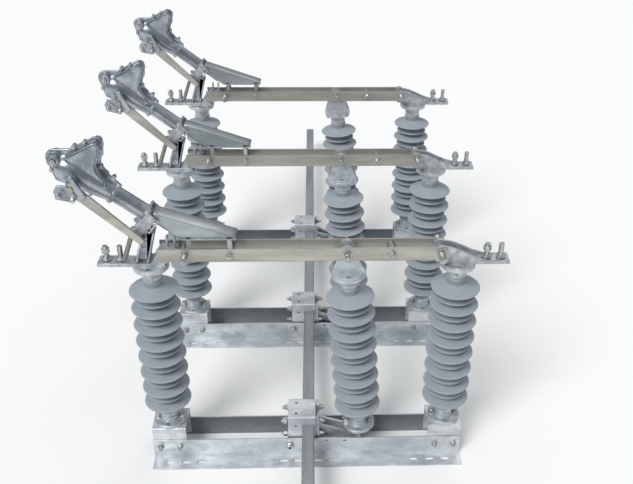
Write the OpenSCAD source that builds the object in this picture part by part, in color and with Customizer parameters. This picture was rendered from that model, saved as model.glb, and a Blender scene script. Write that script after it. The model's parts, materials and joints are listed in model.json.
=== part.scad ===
// Three-pole, gang-operated load-break disconnect switch, closed.
// X runs along each pole towards the hinge end, Y from pole to pole, and Z is up.
// Z = 0 is the underside of the base rails, and the origin is at the centre of the middle pole's base.
// Each pole has two fixed insulators, a lift insulator between them that raises the blade, and an
// interrupter on the line side. Three rockers on one square tube push the lift insulators together.

/* [Layout] */
// Distance between the centres of neighbouring poles
pole_pitch = 610; // [480:10:900]
// Length of the base rails of one pole
base_len = 975; // [960:5:1250]

/* [Base rails] */
// Height of a rail's upright leg
rail_leg = 72; // [66:1:90]
// Width of a rail's foot, with the leg
rail_foot = 58; // [50:1:80]
// Thickness of the rail steel
rail_t = 5; // [4:0.5:8]
// Distance between the outer faces of the two upright legs
rail_spread = 109; // [105:1:150]
// Length of a mounting slot, end to end
slot_len = 27; // [20:1:36]
// Width of a mounting slot
slot_w = 11; // [8:1:14]
// Distance of the outermost slot's centre from the rail's end
slot_inset = 50; // [30:1:70]
// Distance from slot to slot in the end groups
slot_step = 50.5; // [42:0.5:60]
// Distance of the inner middle slots from the centre
slot_mid = 32; // [24:1:50]
// Distance of the outer middle slots from the centre
slot_mid_outer = 78; // [70:1:120]

/* [Pedestals] */
// Width of a pedestal along the rails
ped_w = 105; // [104:1:130]
// Height of a pedestal's top above the floor
ped_h = 117; // [100:1:160]
// Thickness of the pedestal and rocker plates
plate_t = 6; // [4:0.5:8]

/* [Insulators] */
// Height of an insulator over its two flanges
ins_h = 583; // [490:1:700]
// Radius of the large sheds
shed_r = 71.5; // [56:0.5:84]
// Radius of the small sheds
shed_small_r = 59; // [46:0.5:66]
// Radius of the insulator core
core_r = 27; // [20:0.5:32]
// Number of large sheds
sheds = 8; // [5:1:8]
// Radius of an end flange
flange_r = 51; // [48:0.5:56]
// Thickness of an end flange
flange_t = 11; // [8:0.5:16]
// Radius of the metal neck
neck_r = 28.5; // [24:0.5:31]
// Radius of the bolt circle in the flanges
bolt_circle_r = 38.1; // [36.5:0.1:43]
// Radius of a flange bolt hole
bolt_hole_r = 6; // [4:0.25:6.5]

/* [Blade] */
// Height of a blade bar
bar_h = 40; // [30:1:50]
// Thickness of a blade bar
bar_t = 6; // [4:0.5:10]
// Distance between the outer faces of the two bars
bar_spread = 56; // [50:1:64]
// Height of the blade's centre line above the fixed insulators
blade_rise = 43; // [38:1:56]
// Distance of the hinge pin from the hinge insulator's axis, towards the blade
hinge_back = 53; // [48:1:60]
// Distance of the contact bolt from the line insulator's axis, towards the blade
contact_fwd = 103; // [92:1:120]
// Length of blade beyond the contact bolt
blade_nose = 77; // [68:1:90]
// Distance of the lift pin from the hinge pin
lift_arm = 263.5; // [220:0.5:300]
// Radius of the hinge pin and the lift pin
pin_r = 8; // [6:0.5:9]
// Running clearance around a pin
pin_clear = 0.05; // [0.03:0.01:0.1]
// Gap between a bar and the contact or cheek that it slides along
slide_gap = 0.6; // [0.4:0.1:1.5]

/* [Lift insulator] */
// Distance of the lift pin above the lift insulator
clevis_rise = 76; // [72:1:100]
// Distance of the foot pin below the lift insulator
foot_drop = 38; // [34:1:48]
// Sideways distance from the lift pin to the foot pin
foot_lean = 48; // [20:1:60]
// Thickness of the foot plate
foot_t = 16; // [10:1:20]

/* [Drive] */
// Width of the square operating tube
tube_w = 38; // [30:1:44]
// Wall of the operating tube
tube_wall = 4; // [2.5:0.5:6]
// Length of tube beyond the front pole's centre
tube_near = 330; // [150:5:500]
// Length of tube beyond the rear pole's centre
tube_far = 1095; // [300:5:1200]
// Distance of the rocker's pivot from the base centre, towards the line side
pivot_back = 56.5; // [50:0.5:70]
// Height of the rocker's pivot
pivot_z = 46; // [40:0.5:50]
// Radius of the pivot bolt
pivot_r = 8; // [6:0.5:10]
// Width of the rocker's plate along the rails
rocker_w = 87; // [80:1:96]
// Height of the rocker's top above the floor
rocker_h = 153; // [146:1:170]
// Clearance between a rocker leg and the rail beside it
rocker_clear = 4; // [3:0.5:6]
// Clearance between a rocker arm and the foot plate
arm_clear = 6; // [5:0.5:9]
// Thickness of a rocker arm
arm_t = 8; // [6:0.5:12]
// Distance of the tube's centre from the base centre
tube_x = 2.5; // [0:0.5:6]
// Height of the tube's centre above the floor
tube_z = 103.5; // [100:0.5:110]

/* [Terminals] */
// Distance of a terminal pad's end from the insulator axis
pad_reach = 144; // [130:1:180]
// Width of a terminal pad
pad_w = 46; // [40:1:60]
// Thickness of the terminal plates
pad_t = 9; // [7:0.5:12]
// How far the face for the cable lug stands above the rest of the pad
lug_rise = 1; // [0.5:0.25:2]
// Distance between the two terminal studs
stud_step = 40; // [36:1:50]
// Distance of the outer stud from the pad's end
stud_inset = 23; // [18:1:30]
// Radius of a terminal stud
stud_r = 6; // [4:0.5:8]
// Height of a stud above the pad
stud_h = 43; // [30:1:60]

/* [Interrupter] */
// Radius of the interrupter tube
int_r = 23; // [18:0.5:26]
// Length of the interrupter tube
int_len = 98; // [80:1:130]
// Slope of the interrupter tube
int_slope = 38; // [34:0.5:42]
// Distance of the tube's lower end beyond the line insulator's axis, towards the blade
int_fwd = 4; // [0:0.5:12]
// Height of the tube's lower end above the line insulator
int_rise = 166; // [160:1:188]
// Thickness of the sheet channel that holds the tube
channel_t = 5; // [3:0.5:6]
// Clearance between a blade bar and the channel's leg beside it
channel_clear = 5.5; // [5:0.5:7]
// Depth of the channel's legs, along the tube
channel_d = 38; // [30:1:40]
// Clearance between the tube and the head's collar
tube_fit = 0.1; // [0.05:0.05:0.4]
// Half thickness of the interrupter head
head_half = 34; // [28:1:40]
// Thickness of the flange between the head's two halves
rim_t = 8; // [5:0.5:10]
// How far that flange stands out from the head's outline
rim_out = 6; // [4:0.5:8]
// Thickness of the interrupter lever
lever_t = 7; // [5:0.5:10]

/* [Hood] */
// Width of the blade hood
hood_w = 50; // [44:1:56]
// Thickness of the hood sheet
hood_t = 3; // [2:0.5:4]

/* [Hidden] */
$fn = 48;
eps = 0.01;                                   // overshoot of a cut past a face
POLES = ["front", "middle", "rear"];

// Places that several pieces share
rail_in = rail_spread / 2 - rail_t;           // inner face of an upright leg
slot_y = rail_spread / 2 + (rail_foot - rail_t) / 2;
ins_x = base_len / 2 - ped_w / 2;             // axis of a fixed insulator
top_z = ped_h + ins_h;                        // top of the fixed insulators
blade_z = top_z + blade_rise;
hinge_x = ins_x - hinge_back;
contact_x = -ins_x + contact_fwd;
nose_x = contact_x - blade_nose;
lift_x = hinge_x - lift_arm;
bar_in = bar_spread / 2 - bar_t;              // inner face of a bar
link_len = clevis_rise + ins_h + foot_drop;   // lift pin to foot pin
lean = asin(foot_lean / link_len);
foot_x = lift_x + foot_lean;
foot_z = blade_z - link_len * cos(lean);
rocker_y = rail_in - rocker_clear;            // outer face of a rocker leg
arm_in = foot_t / 2 + arm_clear;              // inner face of a rocker arm
seat_t = 5;                                   // round seat of a terminal on its insulator
pad_z = top_z + seat_t + pad_t;               // top of a terminal pad
contact_half = bar_in - slide_gap;            // half thickness of what the bars slide along
channel_w = bar_spread + 2 * (channel_clear + channel_t);
bolt_past = 30;                               // how far the blade's bolts stand out from the bars
int_end = [-ins_x + int_fwd, top_z + int_rise];
int_dir = [-cos(int_slope), sin(int_slope)];  // up along the tube
int_up = [sin(int_slope), cos(int_slope)];    // square to the tube, upwards
int_top = int_end + int_len * int_dir;
head_crank = int_top + [-95, 38];             // side crank of the interrupter head
crank_y = -head_half - 12;                    // outer face of the crank's boss

// ---------- shapes used by several pieces ----------

// An outline drawn in X and Z, made solid from y0 to y0 + t
module xz(y0, t) translate([0, y0 + t, 0]) rotate([90, 0, 0]) linear_extrude(t) children();

// A round bar along Y
module y_bar(x, z, r, y0, y1) translate([x, y0, z]) rotate([-90, 0, 0]) cylinder(r = r, h = y1 - y0);

// Points along an arc, from angle a0 to angle a1
function arc(c, r, a0, a1) = let (n = max(3, ceil(abs(a1 - a0) / 9)))
    [for (i = [0 : n]) c + r * [cos(a0 + (a1 - a0) * i / n), sin(a0 + (a1 - a0) * i / n)]];

// Outline round two circles, with straight tangents
function link(a, ra, b, rb) = let (
    dir = atan2(b[1] - a[1], b[0] - a[0]),
    open = acos((ra - rb) / norm(b - a)))
    concat(arc(a, ra, dir + open, dir + 360 - open), arc(b, rb, dir - open, dir + open));

// Both signs of Y
module both_y() for (s = [0, 1]) mirror([0, s, 0]) children();

module at_pole(p) translate([0, (p - 1) * pole_pitch, 0]) children();

// ---------- insulator ----------

// Half profile of one shed, from the core out along its underside and back up its conical top
function shed(z, r, rise) = [
    [core_r, z + 6], [r - 9, z + 0.8], [r - 1.4, z], [r, z + 1.8], [r - 2.5, z + 4.4],
    [(r + core_r) / 2, z + 3 + rise * 0.42], [core_r, z + rise]
];

module insulator() {
    neck_h = 46;                              // metal neck from flange to rubber
    first = 85.5;                             // underside of the lowest large shed
    last = ins_h - 86.5;                      // underside of the highest large shed
    step = (last - first) / (sheds - 1);
    rise = 0.38 * step;                       // how far a shed climbs to the core
    profile = concat(
        [[0, 0], [flange_r, 0], [flange_r, flange_t], [neck_r, flange_t], [neck_r, neck_h],
         [core_r + 4, neck_h + 3], [core_r + 4, neck_h + 10], [core_r, neck_h + 12]],
        [for (i = [0 : sheds - 1]) each concat(
            shed(first + i * step, shed_r, rise),
            i < sheds - 1 ? shed(first + (i + 0.5) * step, shed_small_r, rise * 0.8) : [])],
        [[core_r, ins_h - neck_h - 7], [core_r + 4, ins_h - neck_h - 5], [core_r + 4, ins_h - neck_h - 1],
         [neck_r, ins_h - neck_h], [neck_r, ins_h - flange_t], [flange_r, ins_h - flange_t],
         [flange_r, ins_h], [0, ins_h]]);
    difference() {
        rotate_extrude($fn = 72) polygon(profile);
        for (a = [0 : 90 : 270], z = [-1, ins_h - flange_t - 1])
            rotate(a) translate([bolt_circle_r, 0, z]) cylinder(r = bolt_hole_r, h = flange_t + 2, $fn = 24);
    }
}

module fixed_insulators() color("#a8b0b6")
    for (s = [-1, 1]) translate([s * ins_x, 0, ped_h]) insulator();

// Everything on the lift insulator is drawn upright below the lift pin, then leaned about it
module leaned() translate([lift_x, 0, blade_z]) rotate([0, -lean, 0]) children();

module lift_insulator() color("#a8b0b6")
    leaned() translate([0, 0, -clevis_rise - ins_h]) insulator();

// Two round-topped clevis plates on a round pad above, and a tapered foot plate below
module lift_fittings() color("#b4babd") leaned() {
    base_z = -clevis_rise;
    base_t = 8;
    plate_t = 8;
    foot_top = base_z - ins_h;
    foot_base = foot_top - base_t;
    foot_r = 34;
    difference() {
        both_y() xz(-contact_half, plate_t) polygon(concat(
            arc([0, 0], 22, -12, 192),
            [[-40, -44], [-flange_r + 3, base_z + base_t], [flange_r - 3, base_z + base_t], [40, -44]]));
        y_bar(0, 0, pin_r + pin_clear, -bar_in - 1, bar_in + 1);
    }
    translate([0, 0, base_z]) difference() {
        cylinder(r = flange_r - 1, h = base_t, $fn = 72);
        for (a = [0 : 90 : 270]) rotate(a)
            translate([bolt_circle_r, 0, -1]) cylinder(r = bolt_hole_r, h = base_t + 2, $fn = 24);
    }
    translate([0, 0, foot_base]) cylinder(r = foot_r, h = base_t, $fn = 60);
    xz(-foot_t / 2, foot_t) polygon(concat(
        arc([0, -link_len], 15, 190, 350),
        [for (p = [[1, 6], [1, 0], [-1, 0], [-1, 6]]) [p[0] * (foot_r - 1), foot_base - p[1]]]));
}

// ---------- base ----------

module slot(x, y, z) for (dx = [-1, 1])
    translate([x + dx * (slot_len - slot_w) / 2, y, z]) cylinder(r = slot_w / 2, h = rail_t + 2, $fn = 24);

module slot_cut(x, y) {
    slot(x, y, -1);
    translate([x - (slot_len - slot_w) / 2, y - slot_w / 2, -1]) cube([slot_len - slot_w, slot_w, rail_t + 2]);
}

// Two angles with their feet outwards
module base_rails() color("#c2c7ca") both_y() difference() {
    union() {
        translate([-base_len / 2, -rail_spread / 2, 0]) cube([base_len, rail_t, rail_leg]);
        translate([-base_len / 2, -rail_spread / 2 - rail_foot + rail_t, 0]) cube([base_len, rail_foot, rail_t]);
    }
    for (s = [-1, 1]) {
        for (i = [0 : 2]) slot_cut(s * (base_len / 2 - slot_inset - i * slot_step), -slot_y);
        slot_cut(s * slot_mid, -slot_y);
        slot_cut(s * slot_mid_outer, -slot_y);
    }
    for (x = [60, 118]) y_bar(x, rail_leg - 10, 4.5, -rail_spread / 2 - 1, -rail_in + 1);
    y_bar(-pivot_back, pivot_z, pivot_r + pin_clear, -rail_spread / 2 - 1, -rail_in + 1);
}

// A bent plate in the shape of an upturned U, standing between the rails
module bent_u(x0, w, h, y_half, z0) difference() {
    translate([x0, -y_half, z0]) cube([w, 2 * y_half, h - z0]);
    translate([x0 - 1, -y_half + plate_t, z0 - 1]) cube([w + 2, 2 * (y_half - plate_t), h - z0 - plate_t + 1]);
    both_y() translate([x0 - 1, -y_half, h]) rotate([0, 90, 0]) difference() {
        translate([-plate_t, -plate_t, 0]) cube([2 * plate_t, 2 * plate_t, w + 2]);
        translate([plate_t, plate_t, -1]) cylinder(r = plate_t, h = w + 4);
    }
}

module pedestals() color("#c6cacd") for (s = [-1, 1])
    bent_u(s * ins_x - ped_w / 2, ped_w, ped_h, rail_in, rail_t + 8);

// ---------- rocker and operating tube ----------

// The square way for the tube, through everything clamped on it
module tube_way() translate([tube_x - tube_w / 2, -rocker_y - 1, tube_z - tube_w / 2])
    cube([tube_w, 2 * rocker_y + 2, tube_w]);

module rocker() color("#bcc1c4") {
    left = -pivot_back - 5;                   // left edge of the rocker's bent plate
    leg_w = 31;                               // width of a leg where it goes down between the rails
    hole_r = 5;
    hole_in = 26;                             // the spare holes' distance from the left edge
    block_t = 14;                             // clamp blocks inside the legs
    block_h = 80;
    clamp_x = left + rocker_w + 5;            // clamp plates beside the bent plate
    clamp_w = 26;
    clamp_h = 86;
    boss_h = 8;
    bolt_out = rail_spread / 2 + 14;
    difference() {
        bent_u(left, rocker_w, rocker_h, rocker_y, pivot_z - 20);
        tube_way();
        translate([left + leg_w, -rocker_y - 1, 0]) cube([rocker_w, 2 * rocker_y + 2, rail_leg - 4]);
        for (y = [-24, 24]) translate([left + hole_in, y, rocker_h - plate_t - 1])
            cylinder(r = hole_r, h = plate_t + 2, $fn = 24);
        y_bar(left + hole_in, rocker_h - 35, hole_r, -rocker_y - 1, rocker_y + 1);
    }
    y_bar(-pivot_back, pivot_z, pivot_r, -bolt_out, bolt_out);
    both_y() difference() {
        union() {
            translate([left + 4, -rocker_y + plate_t, tube_z - block_h / 2])
                cube([clamp_x - left - 3, block_t, block_h]);
            translate([clamp_x, -rocker_y, tube_z - clamp_h / 2]) cube([plate_t, clamp_w, clamp_h]);
        }
        tube_way();
    }
    // two arms from the tube to the foot pin, low enough to clear the lift insulator's flange
    hub = [tube_x, tube_z];
    foot = [foot_x, foot_z];
    arm_dir = (foot - hub) / norm(foot - hub);
    shoulder = hub + 30 * arm_dir + 7 * [arm_dir[1], -arm_dir[0]];
    both_y() xz(-arm_in - arm_t, arm_t) difference() {
        union() {
            translate(hub) circle(32);
            polygon(link(shoulder, 16, foot, 9.5));
        }
        translate([tube_x - tube_w / 2, tube_z - tube_w / 2]) square(tube_w);
    }
    both_y() y_bar(foot_x, foot_z, 12, -arm_in - arm_t - boss_h, -arm_in - arm_t + 1);
}

module operating_tube() color("#aeb3b6") {
    y0 = -pole_pitch - tube_near;
    len = 2 * pole_pitch + tube_near + tube_far;
    bore = tube_w - 2 * tube_wall;
    chamfer = 2.5;
    difference() {
        translate([tube_x, y0 + len, tube_z]) rotate([90, 0, 0]) linear_extrude(len) polygon([
            for (a = [0 : 90 : 270], s = [-1, 1])
                let (h = tube_w / 2, b = h - chamfer)
                    s < 0 ? [h * cos(a) + b * sin(a), h * sin(a) - b * cos(a)]
                          : [h * cos(a) - b * sin(a), h * sin(a) + b * cos(a)]]);
        translate([tube_x - bore / 2, y0 - 1, tube_z - bore / 2]) cube([bore, len + 2, bore]);
    }
}

// ---------- terminals ----------

// Flat terminal: a round seat on the insulator's flange, the pad, and two studs
module terminal_plate(s) {
    back = 44;                                // how far the pad runs past the insulator's axis
    stud_foot = 8;                            // how far a stud stands out below the pad
    end_x = s * (ins_x + pad_reach);
    lug_len = 2 * stud_inset + stud_step;
    difference() {
        union() {
            translate([s * ins_x, 0, top_z]) cylinder(r = flange_r - 1, h = seat_t, $fn = 72);
            translate([s > 0 ? ins_x - back : end_x, -pad_w / 2, top_z + seat_t])
                cube([pad_reach + back, pad_w, pad_t]);
            translate([s > 0 ? end_x - lug_len : end_x, -pad_w / 2, top_z + seat_t + 1])
                cube([lug_len, pad_w, pad_t + lug_rise - 1]);
        }
        for (a = [0 : 90 : 270]) translate([s * ins_x, 0, top_z - 1]) rotate(a)
            translate([bolt_circle_r, 0, 0]) cylinder(r = bolt_hole_r, h = seat_t + pad_t + 2, $fn = 24);
    }
    for (i = [0, 1]) translate([end_x - s * (stud_inset + i * stud_step), 0, pad_z - pad_t - stud_foot])
        cylinder(r = stud_r, h = stud_foot + pad_t + stud_h, $fn = 24);
}

// Two cheeks between the bars, sloping down to the pad
module hinge_terminal() color("#b3b9bd") {
    cheek_t = 8;
    terminal_plate(1);
    both_y() difference() {
        xz(-contact_half, cheek_t) polygon(concat(
            arc([hinge_x, blade_z], 21, 80, 200),
            [[hinge_x - 14, pad_z], [hinge_x + 140, pad_z], [hinge_x + 95, blade_z - 14],
             [hinge_x + 40, blade_z + 12]]));
        y_bar(hinge_x, blade_z, pin_r + pin_clear, -bar_spread, bar_spread);
    }
}

// The pad, and the contact that the blade bars close over
module line_terminal() color("#b3b9bd") {
    terminal_plate(-1);
    xz(-contact_half, 2 * contact_half) polygon([
        [-ins_x + 4, pad_z - eps], [nose_x + 8, blade_z + 18], [contact_x - 22, blade_z + 14],
        [contact_x - 18, blade_z - 14], [-ins_x + 47, pad_z - eps]]);
}

// ---------- interrupter ----------

// A point by its distance up along the tube's axis and its distance above that axis
function on_tube(along, above) = int_end + along * int_dir + above * int_up;

// A round piece along the tube's axis, from a to b
module int_round(r, a, b) translate([int_end[0], 0, int_end[1]]) rotate([0, -(90 - int_slope), 0])
    translate([0, 0, a]) cylinder(r = r, h = b - a, $fn = 60);

// Tube and contact rod in a bent channel, on a cast post with a rib along each edge
module interrupter_bracket() color("#a3aab1") {
    rod_r = 12;
    rod_len = 98;
    chan_top = 23;                            // the channel's reach above and below the axis
    chan_low = 62;
    rib_half = contact_half;
    rib_t = 7;
    web_t = 10;
    foot_x = -ins_x - 37;                     // outer foot of the post
    left = [[foot_x, pad_z], [foot_x + 9, pad_z + 38], [foot_x + 26, pad_z + 74], on_tube(-2, -58)];
    right = [[-ins_x + 1, pad_z], [-ins_x + 12, pad_z + 46], [-ins_x + 25, pad_z + 92], on_tube(-30, -36)];
    int_round(int_r, 0, int_len);
    int_round(rod_r, -rod_len, 0);
    xz(-channel_w / 2, channel_w)
        polygon([on_tube(0, chan_top), on_tube(-channel_t, chan_top),
                 on_tube(-channel_t, -chan_low), on_tube(0, -chan_low)]);
    both_y() xz(-channel_w / 2, channel_t)
        polygon([on_tube(-channel_t + eps, chan_top), on_tube(-channel_t + eps, -chan_low),
                 on_tube(-channel_d, -30), on_tube(-channel_d, 17)]);
    xz(-web_t / 2, web_t) polygon(concat(left, [for (i = [3 : -1 : 0]) right[i]]));
    xz(-rib_half, 2 * rib_half) polygon(concat(left, [for (i = [3 : -1 : 0]) left[i] + [rib_t, 0]]));
    xz(-rib_half, 2 * rib_half) polygon(concat(right, [for (i = [3 : -1 : 0]) right[i] - [rib_t, 0]]));
}

// Two cast halves with a flange between them: a body along the tube's axis and a horn above it
module interrupter_head() color("#9ba3aa") difference() {
    head_casting();
    int_round(int_r + tube_fit, int_len - 20, int_len);
}

module head_casting() {
    ear = int_top + [-138, 104];
    horn = int_top + [-28, 142];
    bay = int_top + [18, 86];                 // centre of the hollow under the horn
    outline = concat(
        arc(ear, 20, 78, 190),
        [int_top + [-142, 44], int_top + [-22, -14], int_top - 28 * int_up, int_top + 28 * int_up],
        arc(bay, 45, 238, 142),
        arc(horn, 15, -30, 100),
        [int_top + [-70, 137], int_top + [-98, 124]]);
    xz(-head_half, 2 * head_half) polygon(outline);
    xz(-rim_t / 2, rim_t) offset(delta = rim_out) polygon(outline);
    int_round(28, int_len - 6, int_len + 26);
    y_bar(head_crank[0], head_crank[1], 12, crank_y, 0);
}

module interrupter_lever() color("#9a9c98") {
    gap = 2;
    pin_past = 8;
    y0 = crank_y - gap - lever_t;
    tip = on_tube(-28, -54);
    xz(y0, lever_t) polygon(link(head_crank, 16, tip, 9));
    y_bar(head_crank[0], head_crank[1], pin_r, y0 - pin_past, y0 + 1);
}

// ---------- blade ----------

module blade_bars() color("#a6a39a") both_y() difference() {
    xz(-bar_spread / 2, bar_t) polygon(concat(
        [[nose_x, blade_z + bar_h / 2], [nose_x, blade_z - bar_h / 2]],
        arc([hinge_x, blade_z], bar_h / 2, -90, 90)));
    for (x = [contact_x, lift_x, hinge_x]) y_bar(x, blade_z, pin_r, -bar_spread, 0);
}

// Bolts and spacers through the two bars
module blade_pins() color("#c9cdd0") {
    out = bar_spread / 2;
    collar_r = pin_r + 6;
    collar_h = 9;
    for (x = [contact_x, lift_x, hinge_x]) {
        y_bar(x, blade_z, pin_r, -out - bolt_past, out + bolt_past);
        both_y() y_bar(x, blade_z, collar_r, -out - collar_h, -out);
    }
    for (x = [contact_x + 123, lift_x + 126]) y_bar(x, blade_z, pin_r + 4, -bar_in, bar_in);
}

// Tapered sheet channel over the end of the blade, on four feet
module blade_hood() color("#a9aeac") {
    low_z = blade_z + bar_h / 2 + 33;
    right_x = contact_x + 144;
    lip = 6;                                  // height of the hood's right end
    foot_w = 14;
    top_l = [contact_x - 74, blade_z + 134];
    top_r = [right_x, low_z + lip];
    low_r = [right_x, low_z];
    low_l = [contact_x - 6, low_z];
    inner = [0, -hood_t];
    difference() {
        xz(-hood_w / 2, hood_w) polygon([top_l, top_r, low_r, low_l]);
        xz(-hood_w / 2 + hood_t, hood_w - 2 * hood_t)
            polygon([top_l + inner + [-20, 7], top_r + inner + [20, -7], low_r + [20, -10], low_l + [-80, -10]]);
    }
    for (x = [contact_x + 6, contact_x + 118])
        both_y() translate([x, -hood_w / 2, blade_z + bar_h / 2]) cube([foot_w, hood_t, low_z - blade_z]);
}

// ---------- drawing ----------

module each_pole(name) for (p = [0 : 2]) at_pole(p) children();

each_pole("base_rails") base_rails();
each_pole("pedestals") pedestals();
each_pole("fixed_insulators") fixed_insulators();
each_pole("line_terminal") line_terminal();
each_pole("hinge_terminal") hinge_terminal();
each_pole("interrupter_bracket") interrupter_bracket();
each_pole("interrupter_head") interrupter_head();
each_pole("interrupter_lever") interrupter_lever();
each_pole("blade_bars") blade_bars();
each_pole("blade_pins") blade_pins();
each_pole("blade_hood") blade_hood();
each_pole("lift_insulator") lift_insulator();
each_pole("lift_fittings") lift_fittings();
each_pole("rocker") rocker();
operating_tube();
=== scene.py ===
"""Looks for a three-pole load-break disconnect switch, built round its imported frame.

The file is laid out as an add-on and run as a script. Lengths are in metres. X runs along a pole
towards its hinge end, Y from pole to pole, Z is up.
"""

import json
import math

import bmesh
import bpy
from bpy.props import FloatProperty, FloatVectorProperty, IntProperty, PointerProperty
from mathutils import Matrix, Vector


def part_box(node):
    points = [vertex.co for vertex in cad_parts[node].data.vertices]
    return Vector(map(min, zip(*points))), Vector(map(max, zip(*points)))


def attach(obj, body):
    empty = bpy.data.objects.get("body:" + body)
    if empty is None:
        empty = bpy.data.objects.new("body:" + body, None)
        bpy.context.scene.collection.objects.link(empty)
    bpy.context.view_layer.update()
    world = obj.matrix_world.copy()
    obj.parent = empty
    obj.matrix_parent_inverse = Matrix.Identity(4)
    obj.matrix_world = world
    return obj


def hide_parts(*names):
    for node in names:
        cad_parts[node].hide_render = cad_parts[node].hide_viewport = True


bl_info = {
    "name": "Disconnect Switch",
    "version": (1, 0, 0),
    "blender": (4, 5, 0),
    "location": "View3D > Sidebar > Switch",
    "description": "Insulators, interrupters, hardware and finishes of a three-pole disconnect switch",
    "category": "Object",
}

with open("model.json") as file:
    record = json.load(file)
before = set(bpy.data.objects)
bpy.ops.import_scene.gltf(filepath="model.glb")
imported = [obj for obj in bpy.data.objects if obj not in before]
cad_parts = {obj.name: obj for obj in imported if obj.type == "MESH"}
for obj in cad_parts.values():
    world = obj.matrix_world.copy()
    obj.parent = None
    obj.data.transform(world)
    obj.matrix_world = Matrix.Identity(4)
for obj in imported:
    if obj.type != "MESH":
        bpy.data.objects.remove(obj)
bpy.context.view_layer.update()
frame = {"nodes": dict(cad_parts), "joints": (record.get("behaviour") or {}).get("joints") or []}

MM = 0.001
POLES = ("front", "middle", "rear")
UP = Vector((0, 0, 1))


# ---------- places taken from the frame ----------

def middle(node):
    low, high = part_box(node)
    return (low + high) / 2


def pivot(joint):
    return Vector(next(j["pos_m"] for j in frame["joints"] if j["name"] == joint))


POLE_Y = {p: middle("pedestals_" + p).y for p in POLES}
INS_LOW, INS_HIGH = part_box("fixed_insulators_middle")
BAR_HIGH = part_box("blade_bars_middle")[1]
PIN_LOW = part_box("blade_pins_middle")[0]
HOOD_LOW, HOOD_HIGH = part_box("blade_hood_middle")
LINE_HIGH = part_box("line_terminal_middle")[1]
MOUNT_LOW, MOUNT_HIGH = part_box("interrupter_bracket_middle")
LEVER_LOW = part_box("interrupter_lever_middle")[0]
TUBE_LOW, TUBE_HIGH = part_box("operating_tube")
ROCKER_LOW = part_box("rocker_middle")[0]
HINGE = pivot("blade_swing_middle")
LIFT = pivot("lift_sway_middle")
CRANK = pivot("lever_swing_middle")
ROCK = pivot("rocker_swing")

SHED_R = (INS_HIGH.y - INS_LOW.y) / 2
INS_X = INS_HIGH.x - SHED_R
INS_H = INS_HIGH.z - INS_LOW.z
RAIL_HALF = 54.5 * MM                          # half the distance over the two upright legs
BAR_HALF = BAR_HIGH.y                          # outer face of a blade bar
CONTACT_X = PIN_LOW.x + 14 * MM                # contact bolt
TUBE_X = (TUBE_LOW.x + TUBE_HIGH.x) / 2
SLOPE = math.radians(38)                       # slope of the interrupter tube
AXIS = Vector((-math.cos(SLOPE), 0, math.sin(SLOPE)))
SQUARE = Vector((math.sin(SLOPE), 0, math.cos(SLOPE)))
TUBE_FOOT = Vector((-INS_X + 4 * MM, 0, INS_HIGH.z + 166 * MM))    # where the tube leaves its channel
TUBE_LEN = 98 * MM
TUBE_R = 23 * MM
CLEVIS_RISE = 76 * MM                          # lift pin to the top of the lift insulator
LIFT_LINK = 697 * MM                           # lift pin to foot pin
LIFT_LEAN = 48 * MM                            # sideways lean of the lift insulator, over its whole link
FIRST_SPACER = 123 * MM                        # contact bolt to the spacer behind it
LAST_SPACER = 126 * MM                         # lift pin to the spacer behind it
TUBE_TOP = TUBE_FOOT + TUBE_LEN * AXIS
PAD_Z = LINE_HIGH.z - 43 * MM                  # top of a terminal pad, under the studs


# ---------- colours and sizes that a user would change ----------

def linear(code):
    """Turns an sRGB hex colour into linear RGBA."""
    parts = [int(code[i:i + 2], 16) / 255 for i in (1, 3, 5)]
    return [c / 12.92 if c <= 0.04045 else ((c + 0.055) / 1.055) ** 2.4 for c in parts] + [1.0]


def colour(name, code, text):
    return FloatVectorProperty(name=name, description=text, default=linear(code), size=4, subtype="COLOR",
                               min=0, max=1)


def length(name, value, text):
    return FloatProperty(name=name, description=text, default=value, min=0, unit="LENGTH", subtype="DISTANCE")


class SWITCH_PG_finishes(bpy.types.PropertyGroup):
    """Colours of the finishes"""
    rail: colour("Rail zinc", "#E0E4E7", "Fresh hot-dip zinc on the base rails")
    # Painted shade: a darker zinc colour for the faces between two rails, where the rails shade each other; it is not
    # weathering.
    rail_painted_shade: colour("Rail zinc, inside", "#868C91", "Weathered zinc on the faces between two rails")
    rail_dull: colour("Rail zinc, dull", "#B7BDC2", "Dull patches in the zinc")
    tube: colour("Tube zinc", "#B0B5B8", "Thin zinc on the drawn operating tube")
    tube_dull: colour("Tube zinc, dull", "#969CA0", "Drawing marks on the operating tube")
    bar: colour("Tinned bar", "#BDBBB3", "Tin plate on the copper bars")
    bar_stain: colour("Tinned bar, stained", "#A3A19A", "Handling stains on the tin")
    fitting_dull: colour("End fitting, dull", "#B2B8BD", "Cloudy patches on the insulator flanges")
    cast: colour("Cast aluminium", "#CACFD2", "Sand-cast terminals and fittings")
    cast_dark: colour("Cast aluminium, pores", "#A2A8AD", "Dirt held in the casting skin")
    shell: colour("Interrupter shell", "#B2B9C0", "Silver-grey die-cast shell")
    shell_dark: colour("Interrupter shell, shade", "#8A9199", "Grime in the hollows of the shell")
    rubber: colour("Silicone rubber", "#99A1A9", "Moulded grey silicone rubber")
    rubber_dust: colour("Silicone dust", "#AAB2B8", "Pale bloom and dust on the sheds")
    fitting: colour("End fitting", "#C9CFD3", "Matt zinc on the insulator flanges")
    zinc: colour("Plated fastener", "#CBCBC4", "Bright zinc plate on nuts and bolts")
    hood: colour("Hood sheet", "#B3B9BB", "Mill-finish aluminium sheet")
    hood_dark: colour("Hood sheet, dull", "#949B9E", "Oxide clouds on the sheet")
    braid: colour("Braid", "#A9A8A2", "Tinned copper braid")
    floor: colour("Floor", "#F7F7F6", "Pale studio floor")


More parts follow.
